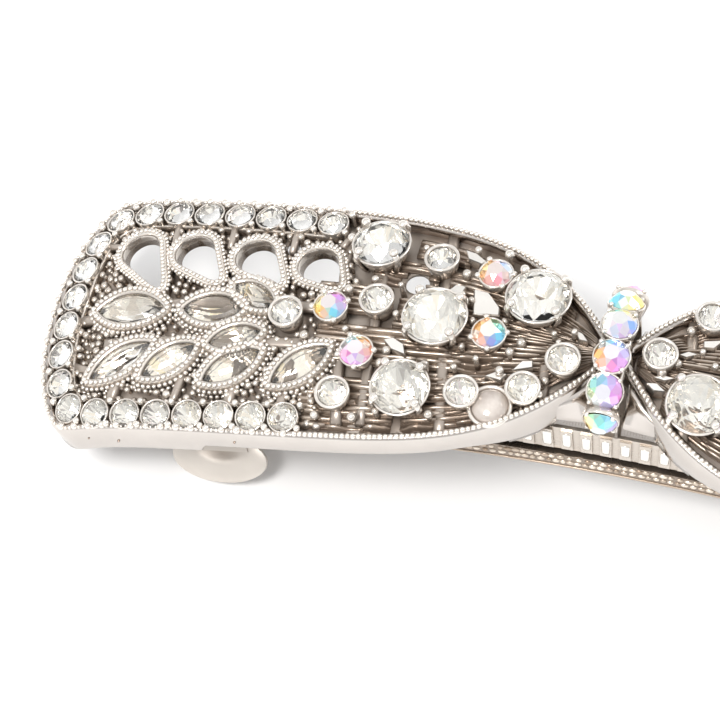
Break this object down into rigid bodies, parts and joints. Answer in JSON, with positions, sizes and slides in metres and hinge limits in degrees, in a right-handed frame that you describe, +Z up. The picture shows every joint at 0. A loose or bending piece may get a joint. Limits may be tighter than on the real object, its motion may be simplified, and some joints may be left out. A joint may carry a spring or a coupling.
{
  "type": "hair clip",
  "caption": "Arched bow-shaped hair barrette with openwork wings set with round, pointed and iridescent stones, over a hinged spring clip with pinch ears.",
  "frame": {"origin": "on the resting plane, under the middle of the clip", "axes": "+X along the clip from the latch to the hinge, +Y across it to the back, +Z up through the knot"},
  "size_m": [0.0916, 0.022, 0.0208],
  "materials": {
    "plated_silver": "bright silver plating, darker in the recesses",
    "clear_crystal": "clear faceted crystal, foiled behind",
    "smoky_crystal": "pale faceted crystal, open behind",
    "aurora_crystal": "iridescent faceted crystal",
    "pale_cabochon": "milky polished cabochon",
    "clip_steel": "plated sheet steel",
    "ear_metal": "smooth warm plated steel",
    "spring_steel": "polished spring strip",
    "rivet_steel": "peened steel"
  },
  "bodies": {
    "root": {"left_wing_casting": "plated_silver", "right_wing_casting": "plated_silver", "knot_band": "plated_silver", "rim_stones_left": "clear_crystal", "rim_stones_right": "clear_crystal", "marquise_stones_left": "smoky_crystal", "marquise_stones_right": "smoky_crystal", "large_crystals_left": "clear_crystal", "large_crystals_right": "clear_crystal", "small_crystals_left": "clear_crystal", "small_crystals_right": "clear_crystal", "aurora_stones_left": "aurora_crystal", "aurora_stones_right": "aurora_crystal", "knot_aurora_stones": "aurora_crystal", "cabochon_left": "pale_cabochon", "cabochon_right": "pale_cabochon", "base_plate": "clip_steel", "base_rivets": "rivet_steel", "tension_leaf": "spring_steel", "latch_saddle": "clip_steel", "latch_rivet": "rivet_steel", "hinge_pin": "rivet_steel"},
    "clasp_arm": {"clasp_arm": "clip_steel"},
    "ear_front": {"latch_ear_front": "ear_metal"},
    "ear_back": {"latch_ear_back": "ear_metal"}
  },
  "joints": [
    {"name": "arm_hinge", "type": "hinge", "parent": "root", "child": "clasp_arm", "pos_m": [0.035, 0, 0.0022], "axis": [0, -1, 0], "range_deg": [0, 80]},
    {"name": "ear_front_pinch", "type": "hinge", "parent": "root", "child": "ear_front", "pos_m": [-0.03095, -0.00395, 0.00702], "axis": [0.9659, 0, 0.2588], "range_deg": [0, 22], "stiffness_Nm_per_rad": 0.01},
    {"name": "ear_back_pinch", "type": "hinge", "parent": "root", "child": "ear_back", "pos_m": [-0.03095, 0.00395, 0.00702], "axis": [0.9659, 0, 0.2588], "range_deg": [-22, 0], "stiffness_Nm_per_rad": 0.01}
  ],
  "couplings": [
    {"joint": "ear_back_pinch", "follows": "ear_front_pinch", "ratio": -1}
  ]
}
